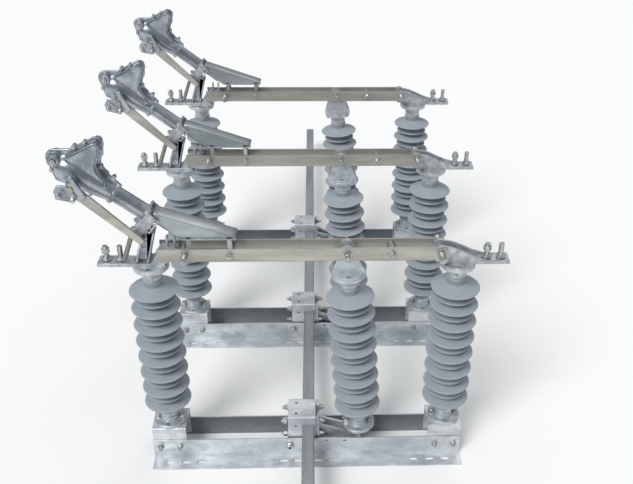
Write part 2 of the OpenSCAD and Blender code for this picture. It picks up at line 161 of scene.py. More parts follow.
class SWITCH_PG_insulator(bpy.types.PropertyGroup):
    """Sizes of an insulator"""
    core: length("Core radius", 27 * MM, "Radius of the rubber core")
    large: length("Large shed radius", SHED_R, "Radius of a large shed")
    small: length("Small shed radius", 59 * MM, "Radius of a small shed")
    large_rise: length("Large shed rise", 19 * MM, "How far a large shed climbs to the core")
    small_rise: length("Small shed rise", 16 * MM, "How far a small shed climbs to the core")
    first: length("First shed", 85.5 * MM, "Height of the lowest large shed")
    last: length("Last shed below the top", 86.5 * MM, "Drop from the top to the highest large shed")
    count: IntProperty(name="Large sheds", description="Number of large sheds", default=8, min=2, max=20)
    flange: length("Flange radius", 51 * MM, "Radius of an end flange")
    flange_t: length("Flange thickness", 11 * MM, "Thickness of an end flange")
    neck: length("Neck radius", 28.5 * MM, "Radius of the metal neck")
    neck_h: length("Neck height", 46 * MM, "Height of the metal neck")
    bolt_circle: length("Bolt circle radius", 38.1 * MM, "Radius of the bolt circle in a flange")


class SWITCH_PG_hardware(bpy.types.PropertyGroup):
    """Sizes of nuts, bolts and springs"""
    m12_flat: length("M12 across flats", 18 * MM, "Width of an M12 nut")
    m10_flat: length("M10 across flats", 16 * MM, "Width of an M10 nut")
    m6_flat: length("M6 across flats", 10 * MM, "Width of an M6 screw head")
    pitch: length("Drawn thread pitch", 2.5 * MM, "Thread pitch, coarser than the real 1.75 mm so that it shows")
    spring_r: length("Spring radius", 9.2 * MM, "Middle radius of a contact spring")
    spring_wire: length("Spring wire radius", 1.7 * MM, "Radius of the spring wire")
    spring_turns: FloatProperty(name="Spring turns", description="Turns of a contact spring", default=5.5,
                                min=1, max=20)
    braid_w: length("Braid width", 14 * MM, "Width of the shunt braid")
    braid_t: length("Braid thickness", 11 * MM, "Thickness of the shunt braid")
    strands: IntProperty(name="Braid strands", description="Strands in the shunt braid", default=20, min=4, max=60)


# ---------- nodes ----------

def add(tree, kind, settings=None, inputs=None):
    """Adds a node with its settings, and sets or links its inputs."""
    made = tree.nodes.new(kind)
    for key, value in (settings or {}).items():
        setattr(made, key, value)
    for key, value in (inputs or {}).items():
        if isinstance(value, bpy.types.NodeSocket):
            tree.links.new(value, made.inputs[key])
        else:
            made.inputs[key].default_value = value
    return made


def maths(tree, operation, *values):
    """The result of a Math node fed with values."""
    return add(tree, "ShaderNodeMath", {"operation": operation}, dict(enumerate(values))).outputs[0]


def ranged(tree, value, low, high, to_low=0.0, to_high=1.0, kind="LINEAR"):
    """A value moved from one range to another."""
    return add(tree, "ShaderNodeMapRange", {"interpolation_type": kind},
               {"Value": value, "From Min": low, "From Max": high, "To Min": to_low,
                "To Max": to_high}).outputs["Result"]


def noise(tree, where, patch, detail, rough=0.5):
    """Noise with patches of a real size in metres."""
    return add(tree, "ShaderNodeTexNoise", None,
               {"Vector": where, "Scale": 1 / patch, "Detail": detail, "Roughness": rough}).outputs["Fac"]


def blend(tree, amount, one, two):
    """Two colours mixed by an amount."""
    return add(tree, "ShaderNodeMix", {"data_type": "RGBA"}, {0: amount, 6: one, 7: two}).outputs[2]


# ---------- finishes ----------

def blank(name):
    """A new material: its tree, its shader and the Object coordinates."""
    material = bpy.data.materials.new(name)
    material.use_nodes = True
    tree = material.node_tree
    shader = tree.nodes["Principled BSDF"]
    where = add(tree, "ShaderNodeTexCoord").outputs["Object"]
    return material, tree, shader, where


def mottled(name, light, dark, patch, grain, metallic, rough, bump, edge=1.2 * MM, stretch=(1, 1, 1)):
    """Two tones in patches, with a fine grain in the roughness and the surface, and softened edges.

    patch and grain are real sizes in metres, bump is the grain's height, and edge the rounding of corners.
    """
    material, tree, shader, where = blank(name)
    spread = add(tree, "ShaderNodeMapping", None, {"Vector": where, "Scale": stretch}).outputs["Vector"]
    cloud = noise(tree, spread, patch, 5.0, 0.6)
    fine = noise(tree, spread, grain, 3.0, 0.65)
    both = maths(tree, "MULTIPLY_ADD", fine, 0.35, cloud)
    amount = ranged(tree, both, 0.52, 0.82, 0.0, 1.0, "SMOOTHSTEP")
    mix = blend(tree, amount, light, dark)
    tree.links.new(mix, shader.inputs["Base Color"])
    matt = ranged(tree, both, 0.4, 0.9, rough - 0.08, rough + 0.12)
    tree.links.new(matt, shader.inputs["Roughness"])
    shader.inputs["Metallic"].default_value = metallic
    corner = add(tree, "ShaderNodeBevel", {"samples": 4}, {"Radius": edge})
    relief = add(tree, "ShaderNodeBump", None,
                 {"Strength": 0.6, "Distance": bump, "Height": fine,
                  "Normal": corner.outputs["Normal"]})
    tree.links.new(relief.outputs["Normal"], shader.inputs["Normal"])
    return material, tree, shader, mix, spread


def hot_dip_zinc(name, bright, dull, inside=None, pitch=1.0):
    """Hot-dip galvanised steel: crystals of 14 mm, runs and dull patches, and a soft metallic sheen.

    With an inside colour, the faces between two rails get painted shade, a darker tone where the rails shade each
    other; pitch is the distance between poles.
    """
    material, tree, shader, mix, spread = mottled(
        name, bright, dull, patch=70 * MM, grain=2.5 * MM, metallic=0.6, rough=0.38, bump=0.12 * MM,
        edge=1.8 * MM, stretch=(0.5, 1, 1))
    tone = mix
    # Painted shade: faces within 50.5 mm of a pole's middle, between its two rails, are darkened towards the inside
    # colour.
    if inside:
        place = add(tree, "ShaderNodeTexCoord").outputs["Object"]
        across = add(tree, "ShaderNodeSeparateXYZ", None, {"Vector": place})
        local = maths(tree, "WRAP", across.outputs["Y"], pitch / 2, -pitch / 2)
        size = maths(tree, "ABSOLUTE", local)
        between = maths(tree, "LESS_THAN", size, 50.5 * MM)
        tone = blend(tree, between, tone, inside)
    crystal = add(tree, "ShaderNodeTexVoronoi", None, {"Vector": spread, "Scale": 1 / (14 * MM)})
    tint = add(tree, "ShaderNodeSeparateColor", None, {"Color": crystal.outputs["Color"]})
    shade = ranged(tree, tint.outputs[0], 0.0, 1.0, 0.92, 1.06)
    spangle = add(tree, "ShaderNodeVectorMath", {"operation": "SCALE"}, {0: tone, "Scale": shade})
    tree.links.new(spangle.outputs["Vector"], shader.inputs["Base Color"])
    return material


def drawn_zinc(name, bright, dull):
    """Drawn and galvanised tube: marks along Y and a duller, even zinc."""
    return mottled(name, bright, dull, patch=60 * MM, grain=2 * MM, metallic=0.7, rough=0.45, bump=0.1 * MM,
                   edge=2.5 * MM, stretch=(1, 0.12, 1))[0]


def tin_plate(name, bright, stain):
    """Tinned copper bar: warm grey, brushed along X, with handling stains 50 mm across."""
    return mottled(name, bright, stain, patch=50 * MM, grain=1.5 * MM, metallic=0.65, rough=0.36, bump=0.05 * MM,
                   edge=1 * MM, stretch=(0.15, 1, 1))[0]


def sand_cast(name, bright, pores):
    """Sand-cast aluminium: a grainy skin with 3 mm pores and cloudy grey patches."""
    return mottled(name, bright, pores, patch=22 * MM, grain=3 * MM, metallic=0.65, rough=0.42, bump=0.25 * MM,
                   edge=2.2 * MM)[0]


def die_cast(name, bright, grime):
    """Die-cast shell with a silver finish: smooth, glossy in the round, with grime in patches."""
    return mottled(name, bright, grime, patch=45 * MM, grain=4 * MM, metallic=0.85, rough=0.28, bump=0.12 * MM,
                   edge=2 * MM)[0]


def mill_sheet(name, bright, oxide):
    """Mill-finish aluminium sheet: rolled along X, with clouds of oxide."""
    return mottled(name, bright, oxide, patch=55 * MM, grain=2 * MM, metallic=0.8, rough=0.34, bump=0.06 * MM,
                   edge=1 * MM, stretch=(0.3, 1, 1))[0]


def zinc_plate(name, bright, dull):
    """Zinc-plated fasteners: bright, slightly warm, a little rubbed."""
    return mottled(name, bright, dull, patch=8 * MM, grain=1.5 * MM, metallic=0.85, rough=0.3, bump=0.05 * MM,
                   edge=0.6 * MM)[0]


def silicone_rubber(name, grey, dust):
    """Moulded silicone rubber: matt, without a metallic sheen, with a pale bloom on what faces the sky."""
    material, tree, shader, where = blank(name)
    cloud = noise(tree, where, 35 * MM, 4.0, 0.55)
    fine = noise(tree, where, 1.5 * MM, 2.0)
    facing = add(tree, "ShaderNodeSeparateXYZ", None,
                 {"Vector": add(tree, "ShaderNodeNewGeometry").outputs["Normal"]})
    settled = ranged(tree, facing.outputs["Z"], 0.1, 0.9, 0.0, 0.65)
    amount = maths(tree, "MULTIPLY", settled, cloud)
    mix = blend(tree, amount, grey, dust)
    tree.links.new(mix, shader.inputs["Base Color"])
    matt = ranged(tree, cloud, 0.3, 0.7, 0.48, 0.62)
    tree.links.new(matt, shader.inputs["Roughness"])
    shader.inputs["IOR"].default_value = 1.41
    relief = add(tree, "ShaderNodeBump", None,
                 {"Strength": 0.3, "Distance": 0.05 * MM, "Height": fine})
    tree.links.new(relief.outputs["Normal"], shader.inputs["Normal"])
    return material


def woven_tin(name, tone):
    """Tinned copper braid: wires of 0.8 mm across the strands, dull and grey with darker gaps."""
    material, tree, shader, where = blank(name)
    wires = noise(tree, where, 1.6 * MM, 3.0, 0.7)
    amount = ranged(tree, wires, 0.35, 0.65)
    dark = [c * 0.55 for c in tone[:3]] + [1.0]
    mix = blend(tree, amount, dark, tone)
    tree.links.new(mix, shader.inputs["Base Color"])
    shader.inputs["Metallic"].default_value = 0.7
    shader.inputs["Roughness"].default_value = 0.48
    relief = add(tree, "ShaderNodeBump", None,
                 {"Strength": 0.8, "Distance": 0.4 * MM, "Height": wires})
    tree.links.new(relief.outputs["Normal"], shader.inputs["Normal"])
    return material


def studio_floor(name, tone):
    """Pale painted floor: matt, with faint clouds 400 mm across."""
    material, tree, shader, where = blank(name)
    cloud = noise(tree, where, 0.4, 3.0)
    amount = ranged(tree, cloud, 0.0, 1.0, 0.0, 0.05)
    grey = [c * 0.8 for c in tone[:3]] + [1.0]
    mix = blend(tree, amount, tone, grey)
    tree.links.new(mix, shader.inputs["Base Color"])
    shader.inputs["Roughness"].default_value = 0.9
    return material


FINISH = {}


def make_finishes():
    tone = bpy.context.scene.switch_finishes
    pick = lambda key: tuple(getattr(tone, key))
    FINISH.update(
        # The rail finish gets a painted shade colour on the faces between two rails.
        rail=hot_dip_zinc("hot_dip_zinc_rail", pick("rail"), pick("rail_dull"), pick("rail_painted_shade"),
                          POLE_Y["rear"] - POLE_Y["middle"]),
        plate=hot_dip_zinc("hot_dip_zinc_plate", pick("rail"), pick("rail_dull")),
        tube=drawn_zinc("drawn_zinc_tube", pick("tube"), pick("tube_dull")),
        bar=tin_plate("tinned_copper_bar", pick("bar"), pick("bar_stain")),
        cast=sand_cast("sand_cast_aluminium", pick("cast"), pick("cast_dark")),
        shell=die_cast("die_cast_shell", pick("shell"), pick("shell_dark")),
        rubber=silicone_rubber("silicone_rubber", pick("rubber"), pick("rubber_dust")),
        fitting=sand_cast("matt_zinc_fitting", pick("fitting"), pick("fitting_dull")),
        zinc=zinc_plate("zinc_plated_fastener", pick("zinc"), pick("cast_dark")),
        hood=mill_sheet("mill_finish_sheet", pick("hood"), pick("hood_dark")),
        braid=woven_tin("tinned_copper_braid", pick("braid")),
        floor=studio_floor("pale_floor", pick("floor")))


# ---------- mesh helpers ----------

def placed(name, data):
    """A new object in the scene, holding the data."""
    made = bpy.data.objects.new(name, data)
    bpy.context.scene.collection.objects.link(made)
    return made


def as_object(name, bm, finish, sharp=35):
    """Turns a bmesh into an object, smooth except at edges sharper than the given degrees."""
    mesh = bpy.data.meshes.new(name)
    bm.to_mesh(mesh)
    bm.free()
    mesh.shade_smooth()
    mesh.set_sharp_from_angle(angle=math.radians(sharp))
    mesh.materials.append(FINISH[finish])
    return placed(name, mesh)


def settle(piece):
    """Applies a piece's modifiers, so that it's a plain mesh."""
    graph = bpy.context.evaluated_depsgraph_get()
    mesh = bpy.data.meshes.new_from_object(piece.evaluated_get(graph))
    piece.modifiers.clear()
    piece.data = mesh
    return piece


def keep(piece, body, slot, *nodes):
    """Fastens a finished piece to its body and hides the nodes that it stands for; the slot is not used."""
    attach(piece, body)
    if nodes:
        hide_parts(*nodes)


def rounded(piece, width, segments=2, angle=30):
    """Rounds a piece's edges."""
    bevel = piece.modifiers.new("Rounded edges", "BEVEL")
    bevel.width = width
    bevel.segments = segments
    bevel.limit_method = "ANGLE"
    bevel.angle_limit = math.radians(angle)
    settle(piece)
    for face in piece.data.polygons:
        face.use_smooth = len(face.vertices) < 5
    return piece


def prism(bm, outline, y0, y1):
    """Adds an outline drawn in X and Z as a solid from y0 to y1."""
    front = [bm.verts.new((p[0], y0, p[-1])) for p in outline]
    back = [bm.verts.new((p[0], y1, p[-1])) for p in outline]
    faces = [bm.faces.new(front), bm.faces.new(back[::-1])]
    for i in range(len(front)):
        j = (i + 1) % len(front)
        faces.append(bm.faces.new((front[j], front[i], back[i], back[j])))
    bmesh.ops.recalc_face_normals(bm, faces=faces)
    return faces


def skin(bm, rings, sides):
    """Adds faces between rings that follow each other; a ring can be a single point."""
    faces = []
    for low, high in zip(rings, rings[1:]):
        for i in range(sides):
            j = (i + 1) % sides
            corners = [low[i % len(low)], low[j % len(low)], high[j % len(high)], high[i % len(high)]]
            faces.append(bm.faces.new(list(dict.fromkeys(corners))))
    return faces


def lathe(bm, profile, base, along, sides=48):
    """Adds a shape turned about a line: profile holds (radius, height) pairs up the line from base."""
    turn = UP.rotation_difference(along).to_matrix()
    rings = []
    for radius, height in profile:
        if radius < 1e-6:
            rings.append([bm.verts.new(base + turn @ Vector((0, 0, height)))])
            continue
        rings.append([
            bm.verts.new(base + turn @ Vector((radius * math.cos(a), radius * math.sin(a), height)))
            for a in (math.tau * i / sides for i in range(sides))])
    faces = skin(bm, rings, sides)
    for ring in (rings[0], rings[-1]):
        if len(ring) > 1:
            faces.append(bm.faces.new(ring))
    bmesh.ops.recalc_face_normals(bm, faces=faces)
    return faces


def arc(centre, radius, start, end, steps=8):
    """Points in X and Z along an arc, angles in degrees."""
    return [
        Vector((centre.x + radius * math.cos(math.radians(a)), 0, centre.z + radius * math.sin(math.radians(a))))
        for a in (start + (end - start) * i / steps for i in range(steps + 1))]


def grown(outline, distance):
    """An outline in X and Z moved outwards by a distance, with mitred corners."""
    area = sum(a.x * b.z - b.x * a.z for a, b in zip(outline, outline[1:] + outline[:1]))
    side = distance if area > 0 else -distance
    points = []
    for before, here, after in zip(outline[-1:] + outline[:-1], outline, outline[1:] + outline[:1]):
        one = (here - before).normalized()
        two = (after - here).normalized()
        first = Vector((one.z, 0, -one.x))
        second = Vector((two.z, 0, -two.x))
        mitre = (first + second).normalized()
        points.append(here + mitre * side / max(0.5, mitre.dot(first)))
    return points


# ---------- Geometry Nodes ----------

def new_tree(name, sizes):
    """A tree with a Geometry input and output and named inputs: the tree and its input sockets."""
    tree = bpy.data.node_groups.new(name, "GeometryNodeTree")
    tree.interface.new_socket("Geometry", in_out="INPUT", socket_type="NodeSocketGeometry")
    for key, kind in sizes.items():
        tree.interface.new_socket(key, in_out="INPUT", socket_type="NodeSocket" + kind)
    tree.interface.new_socket("Geometry", in_out="OUTPUT", socket_type="NodeSocketGeometry")
    given = tree.nodes.new("NodeGroupInput").outputs
    return tree, given


def close_tree(tree, given, instance, seeded=False):
    """Stands an instance on every point along its axis attribute, and ends the tree."""
    axis = add(tree, "GeometryNodeInputNamedAttribute", {"data_type": "FLOAT_VECTOR"}, {"Name": "axis"})
    turn = add(tree, "FunctionNodeAlignRotationToVector", {"axis": "Z"}, {"Vector": axis.outputs["Attribute"]})
    spin = turn.outputs["Rotation"]
    if seeded:
        angle = add(tree, "FunctionNodeRandomValue", {"data_type": "FLOAT"},
                    {"Max": math.radians(60), "Seed": given["Seed"]})
        about = add(tree, "FunctionNodeAxisAngleToRotation", None,
                    {"Axis": (0, 0, 1), "Angle": angle.outputs[1]})
        spin = add(tree, "FunctionNodeRotateRotation", {"rotation_space": "LOCAL"},
                   {"Rotation": spin, "Rotate By": about.outputs["Rotation"]}).outputs["Rotation"]
    stand = add(tree, "GeometryNodeInstanceOnPoints", None,
                {"Points": given["Geometry"], "Instance": instance, "Rotation": spin})
    end_tree(tree, given, stand.outputs["Instances"])


def end_tree(tree, given, geometry):
    real = add(tree, "GeometryNodeRealizeInstances", None, {"Geometry": geometry})
    painted = add(tree, "GeometryNodeSetMaterial", None,
                  {"Geometry": real.outputs["Geometry"], "Material": given["Material"]})
    out = tree.nodes.new("NodeGroupOutput")
    tree.links.new(painted.outputs["Geometry"], out.inputs["Geometry"])


def slug(tree, sides, radius, depth, base):
    """A washer, nut or head in the tree: a short prism with a chamfered top, standing at base."""
    body = add(tree, "GeometryNodeMeshCylinder", {"fill_type": "NGON"},
               {"Vertices": sides, "Radius": radius, "Depth": depth})
    lift = maths(tree, "MULTIPLY_ADD", depth, 0.5, base)
    place = add(tree, "ShaderNodeCombineXYZ", None, {"Z": lift})
    stood = add(tree, "GeometryNodeTransform", None,
                {"Geometry": body.outputs["Mesh"], "Translation": place.outputs[0]})
    raised = add(tree, "GeometryNodeExtrudeMesh", {"mode": "FACES"},
                 {"Mesh": stood.outputs[0], "Selection": body.outputs["Top"], "Offset Scale": 0.7 * MM,
                  "Individual": False})
    return add(tree, "GeometryNodeScaleElements", {"domain": "FACE"},
               {"Geometry": raised.outputs["Mesh"], "Selection": raised.outputs["Top"],
                "Scale": 0.88}).outputs["Geometry"]


def joint_tree():
    """Washer, nut or head, and the thread that stands out past it."""
    tree, given = new_tree("Bolted joint", {
        "Flat Width": "Float", "Head Height": "Float", "Washer Radius": "Float", "Washer Thickness": "Float",
        "Thread Radius": "Float", "Thread Length": "Float", "Thread Pitch": "Float", "Seed": "Int",
        "Material": "Material"})
    corner = maths(tree, "DIVIDE", given["Flat Width"], math.sqrt(3))
    washer = slug(tree, 24, given["Washer Radius"], given["Washer Thickness"], 0.0)
    head = slug(tree, 6, corner, given["Head Height"], given["Washer Thickness"])
    tip = add(tree, "ShaderNodeCombineXYZ", None, {"Z": given["Thread Length"]})
    line = add(tree, "GeometryNodeCurvePrimitiveLine", {"mode": "POINTS"},
               {"Start": (0, 0, 0.5 * MM), "End": tip.outputs[0]})
    turns = maths(tree, "DIVIDE", given["Thread Length"], given["Thread Pitch"])
    rings = maths(tree, "MULTIPLY_ADD", turns, 2.0, 2.0)
    cut = add(tree, "GeometryNodeResampleCurve", None,
              {"Curve": line.outputs["Curve"], "Count": rings})
    odd = maths(tree, "MODULO", add(tree, "GeometryNodeInputIndex").outputs[0], 2.0)
    depth = maths(tree, "MULTIPLY_ADD", odd, -0.14, 1.0)
    round_ = add(tree, "GeometryNodeCurvePrimitiveCircle", {"mode": "RADIUS"},
                 {"Resolution": 14, "Radius": given["Thread Radius"]})
    thread = add(tree, "GeometryNodeCurveToMesh", None,
                 {"Curve": cut.outputs["Curve"], "Profile Curve": round_.outputs["Curve"],
                  "Scale": depth, "Fill Caps": True})
    joined = add(tree, "GeometryNodeJoinGeometry")
    for part in (washer, head, thread.outputs["Mesh"]):
        tree.links.new(part, joined.inputs[0])
    close_tree(tree, given, joined.outputs[0], seeded=True)
    return tree


def spring_tree():
    """Coil springs that stand on their points."""
    tree, given = new_tree("Coil spring", {
        "Coil Radius": "Float", "Wire Radius": "Float", "Turns": "Float", "Length": "Float",
        "Material": "Material"})
    coil = add(tree, "GeometryNodeCurveSpiral", None,
               {"Resolution": 24, "Rotations": given["Turns"], "Start Radius": given["Coil Radius"],
                "End Radius": given["Coil Radius"], "Height": given["Length"]})
    wire = add(tree, "GeometryNodeCurvePrimitiveCircle", {"mode": "RADIUS"},
               {"Resolution": 8, "Radius": given["Wire Radius"]})
    body = add(tree, "GeometryNodeCurveToMesh", None,
               {"Curve": coil.outputs["Curve"], "Profile Curve": wire.outputs["Curve"], "Fill Caps": True})
    close_tree(tree, given, body.outputs["Mesh"])
    return tree


def shed_tree():
    """Large and small sheds in turn, stacked from each point along its axis."""
    tree, given = new_tree("Shed stack", {
        "Large Shed": "Object", "Small Shed": "Object", "Count": "Int", "First": "Float", "Step": "Float",
        "Material": "Material"})
    joined = add(tree, "GeometryNodeJoinGeometry")
    for shed, less, half in (("Large Shed", 0, 0.0), ("Small Shed", 1, 0.5)):
        count = maths(tree, "SUBTRACT", given["Count"], float(less))
        start = maths(tree, "MULTIPLY_ADD", given["Step"], half, given["First"])
        low = add(tree, "ShaderNodeCombineXYZ", None, {"Z": start})
        rise = add(tree, "ShaderNodeCombineXYZ", None, {"Z": given["Step"]})
        line = add(tree, "GeometryNodeMeshLine", {"mode": "OFFSET"},
                   {"Count": count, "Start Location": low.outputs[0], "Offset": rise.outputs[0]})
        shape = add(tree, "GeometryNodeObjectInfo", {"transform_space": "ORIGINAL"}, {"Object": given[shed]})
        stack = add(tree, "GeometryNodeInstanceOnPoints", None,
                    {"Points": line.outputs["Mesh"], "Instance": shape.outputs["Geometry"]})
        tree.links.new(stack.outputs["Instances"], joined.inputs[0])
    close_tree(tree, given, joined.outputs[0])
    return tree


def braid_tree():
    """A flat braid along a path in X and Z: strands that wind round it both ways."""
    tree, given = new_tree("Flat braid", {
        "Width": "Float", "Thickness": "Float", "Strands": "Int", "Strand Radius": "Float", "Windings": "Float",
        "Material": "Material"})
    path = add(tree, "GeometryNodeMeshToCurve", None, {"Mesh": given["Geometry"]})
    even = add(tree, "GeometryNodeResampleCurve", None, {"Curve": path.outputs["Curve"], "Count": 90})
    many = add(tree, "GeometryNodeDuplicateElements", {"domain": "SPLINE"},
               {"Geometry": even.outputs["Curve"], "Amount": given["Strands"]})
    number = many.outputs["Duplicate Index"]
    share = maths(tree, "DIVIDE", number, given["Strands"])
    phase = maths(tree, "MULTIPLY", share, math.tau)
    odd = maths(tree, "MODULO", number, 2.0)
    way = maths(tree, "MULTIPLY_ADD", odd, 2.0, -1.0)
    full = maths(tree, "MULTIPLY", given["Windings"], math.tau)
    wound = maths(tree, "MULTIPLY", full, way)
    along = add(tree, "GeometryNodeSplineParameter").outputs["Factor"]
    angle = maths(tree, "MULTIPLY_ADD", along, wound, phase)
    offsets = []
    flat = add(tree, "ShaderNodeVectorMath", {"operation": "CROSS_PRODUCT"},
               {0: add(tree, "GeometryNodeInputTangent").outputs[0], 1: (0, 1, 0)})
    for wave, size, way_out in (("SINE", "Width", (0, 1, 0)), ("COSINE", "Thickness", flat.outputs[0])):
        swing = maths(tree, wave, angle)
        half = maths(tree, "MULTIPLY", given[size], 0.5)
        reach = maths(tree, "MULTIPLY", swing, half)
        offsets.append(add(tree, "ShaderNodeVectorMath", {"operation": "SCALE"},
                           {0: way_out, "Scale": reach}).outputs[0])
    total = add(tree, "ShaderNodeVectorMath", {"operation": "ADD"}, {0: offsets[0], 1: offsets[1]})
    laid = add(tree, "GeometryNodeSetPosition", None,
               {"Geometry": many.outputs["Geometry"], "Offset": total.outputs[0]})
    strand = add(tree, "GeometryNodeCurvePrimitiveCircle", {"mode": "RADIUS"},
                 {"Resolution": 5, "Radius": given["Strand Radius"]})
    body = add(tree, "GeometryNodeCurveToMesh", None,
               {"Curve": laid.outputs["Geometry"], "Profile Curve": strand.outputs["Curve"], "Fill Caps": True})
    end_tree(tree, given, body.outputs["Mesh"])
    return tree


TREES = {}


def make_trees():
    TREES.update(joint=joint_tree(), spring=spring_tree(), sheds=shed_tree(), braid=braid_tree())


def nodes_piece(name, tree, points, axes, edges, values, finish):
    """Grows a piece from points with a tree, its inputs set by identifier, and leaves a plain mesh."""
    mesh = bpy.data.meshes.new(name)
    mesh.from_pydata([tuple(p) for p in points], edges, [])
    if axes:
        attribute = mesh.attributes.new("axis", "FLOAT_VECTOR", "POINT")
        for item, axis in zip(attribute.data, axes):
            item.vector = axis
    piece = placed(name, mesh)
    grow = piece.modifiers.new("Grow", "NODES")
    grow.node_group = TREES[tree]
    known = {i.name: i.identifier for i in TREES[tree].interface.items_tree if i.in_out == "INPUT"}
    for key, value in {**values, "Material": FINISH[finish]}.items():
        grow[known[key]] = value
    return settle(piece)


def fasteners(name, places, flat, head, washer, thread, past, seed=1, finish="zinc"):
    """Bolted joints at (place, axis) pairs: across flats, head height, washer radius, thread radius and length."""
    pitch = bpy.context.scene.switch_hardware.pitch
    return nodes_piece(
        name, "joint", [p for p, _ in places], [a for _, a in places], [],
        {"Flat Width": flat, "Head Height": head, "Washer Radius": washer, "Washer Thickness": 2.2 * MM,
         "Thread Radius": thread, "Thread Length": past, "Thread Pitch": pitch, "Seed": seed}, finish)


def merged(name, pieces):
    """Joins plain meshes that lie on one body into one piece."""
    bm = bmesh.new()
    materials = []
    for piece in pieces:
        for material in piece.data.materials:
            if material not in materials:
                materials.append(material)
        start = len(bm.faces)
        bm.from_mesh(piece.data)
        bm.faces.ensure_lookup_table()
        table = [materials.index(m) for m in piece.data.materials]
        for face in bm.faces[start:]:
            face.material_index = table[face.material_index] if table else 0
    mesh = bpy.data.meshes.new(name)
    bm.to_mesh(mesh)
    bm.free()
    for material in materials:
        mesh.materials.append(material)
    for piece in pieces:
        bpy.data.objects.remove(piece)
    return placed(name, mesh)


# ---------- operators ----------

class SWITCH_OT_finishes(bpy.types.Operator):
    """Makes the finishes and puts them on the frame's own pieces"""
    bl_idname = "switch.finishes"
    bl_label = "Finishes"

    def execute(self, context):
        make_finishes()
        make_trees()
        worn = {
            "base_rails": "rail", "pedestals": "plate", "rocker": "plate", "operating_tube": "tube",
            "line_terminal": "cast", "hinge_terminal": "cast", "lift_fittings": "fitting",
            "interrupter_lever": "bar", "blade_bars": "bar", "blade_pins": "zinc", "blade_hood": "hood",
            "interrupter_bracket": "shell", "interrupter_head": "shell", "fixed_insulators": "rubber",
            "lift_insulator": "rubber"}
        for name, piece in frame["nodes"].items():
            kind = name if name in worn else name.rsplit("_", 1)[0]
            piece.data.materials.clear()
            piece.data.materials.append(FINISH[worn[kind]])
        return {"FINISHED"}


def shed_object(name, core, radius, rise):
    """One shed: a cone with a rounded lip, and a shallow hollow underneath."""
    lip = 2.2 * MM
    edge = [Vector((radius - lip, 0, lip)) + lip * Vector((math.cos(a), 0, math.sin(a)))
            for a in (math.radians(d) for d in (-90, -45, 0, 40, 65))]
    blend = [(radius * 0.82, rise * 0.3), (radius * 0.62, rise * 0.58), (core + 6 * MM, rise * 0.86),
             (core - 1 * MM, rise * 1.08)]
    profile = [(core - 1 * MM, 6 * MM), (core + 5 * MM, 4.5 * MM), (radius * 0.8, 1.6 * MM),
               (radius - 7 * MM, 0.9 * MM)]
    profile += [(p.x, p.z) for p in edge] + blend
    bm = bmesh.new()
    lathe(bm, profile, Vector(), UP, 72)
    return as_object(name, bm, "rubber", 60)


def insulator_core(bm, size, base, along):
    """The rubber core with a rounded collar against each neck."""
    low, high = size.neck_h - 2 * MM, INS_H - size.neck_h + 2 * MM
    collar = size.core + 3.5 * MM
    lathe(bm, [(size.core - 1 * MM, low), (collar - 1 * MM, low + 1 * MM), (collar, low + 4 * MM),
               (collar - 1.2 * MM, low + 9 * MM), (size.core, low + 14 * MM), (size.core, high - 12 * MM),
               (collar - 1.2 * MM, high - 8 * MM), (collar, high - 4 * MM), (collar - 1 * MM, high - 1 * MM),
               (size.core - 1 * MM, high)], base, along, 48)


def end_fitting(size):
    """One end fitting, standing on its flange: a flange with four holes and a crimped neck."""
    t, neck = size.flange_t, size.neck
    body = bmesh.new()
    lathe(body, [(0, 0), (size.flange - 1 * MM, 0), (size.flange, 1 * MM), (size.flange, t - 1.5 * MM),
                 (size.flange - 1.5 * MM, t), (neck + 4 * MM, t), (neck + 1 * MM, t + 1.2 * MM),
                 (neck, t + 4 * MM), (neck, 22 * MM), (neck - 0.8 * MM, 23 * MM), (neck - 0.8 * MM, 27 * MM),
                 (neck, 28 * MM), (neck, size.neck_h - 4 * MM), (neck - 2 * MM, size.neck_h), (0, size.neck_h)],
          Vector(), UP, 64)
    drills = bmesh.new()
    for place, _ in flange_holes(size, Vector((0, 0, -1 * MM)), UP, ()):
        lathe(drills, [(0, 0), (6 * MM, 0), (6 * MM, t + 2 * MM), (0, t + 2 * MM)], place, UP, 24)
    fitting = as_object("end_fitting", body, "fitting", 40)
    drill = as_object("drill", drills, "fitting")
    holes = fitting.modifiers.new("Holes", "BOOLEAN")
    holes.object = drill
    holes.solver = "EXACT"
    settle(fitting)
    bpy.data.objects.remove(drill)
    return fitting


def stand_ends(name, fitting, places):
    """Copies of the end fitting at (foot, direction) pairs, joined into one piece."""
    bm = bmesh.new()
    for foot, way in places:
        start = len(bm.verts)
        bm.from_mesh(fitting.data)
        bm.verts.ensure_lookup_table()
        turn = Matrix.Translation(foot) @ UP.rotation_difference(way).to_matrix().to_4x4()
        bmesh.ops.transform(bm, matrix=turn, verts=bm.verts[start:])
    return as_object(name, bm, "fitting", 40)


def flange_holes(size, base, along, skip):
    """Places on a bolt circle, as (place, axis) pairs, leaving out some quarter turns."""
    turn = UP.rotation_difference(along).to_matrix()
    return [(base + turn @ (size.bolt_circle * Vector((math.cos(a), math.sin(a), 0))), along)
            for a in (math.tau * i / 4 for i in range(4) if i not in skip)]


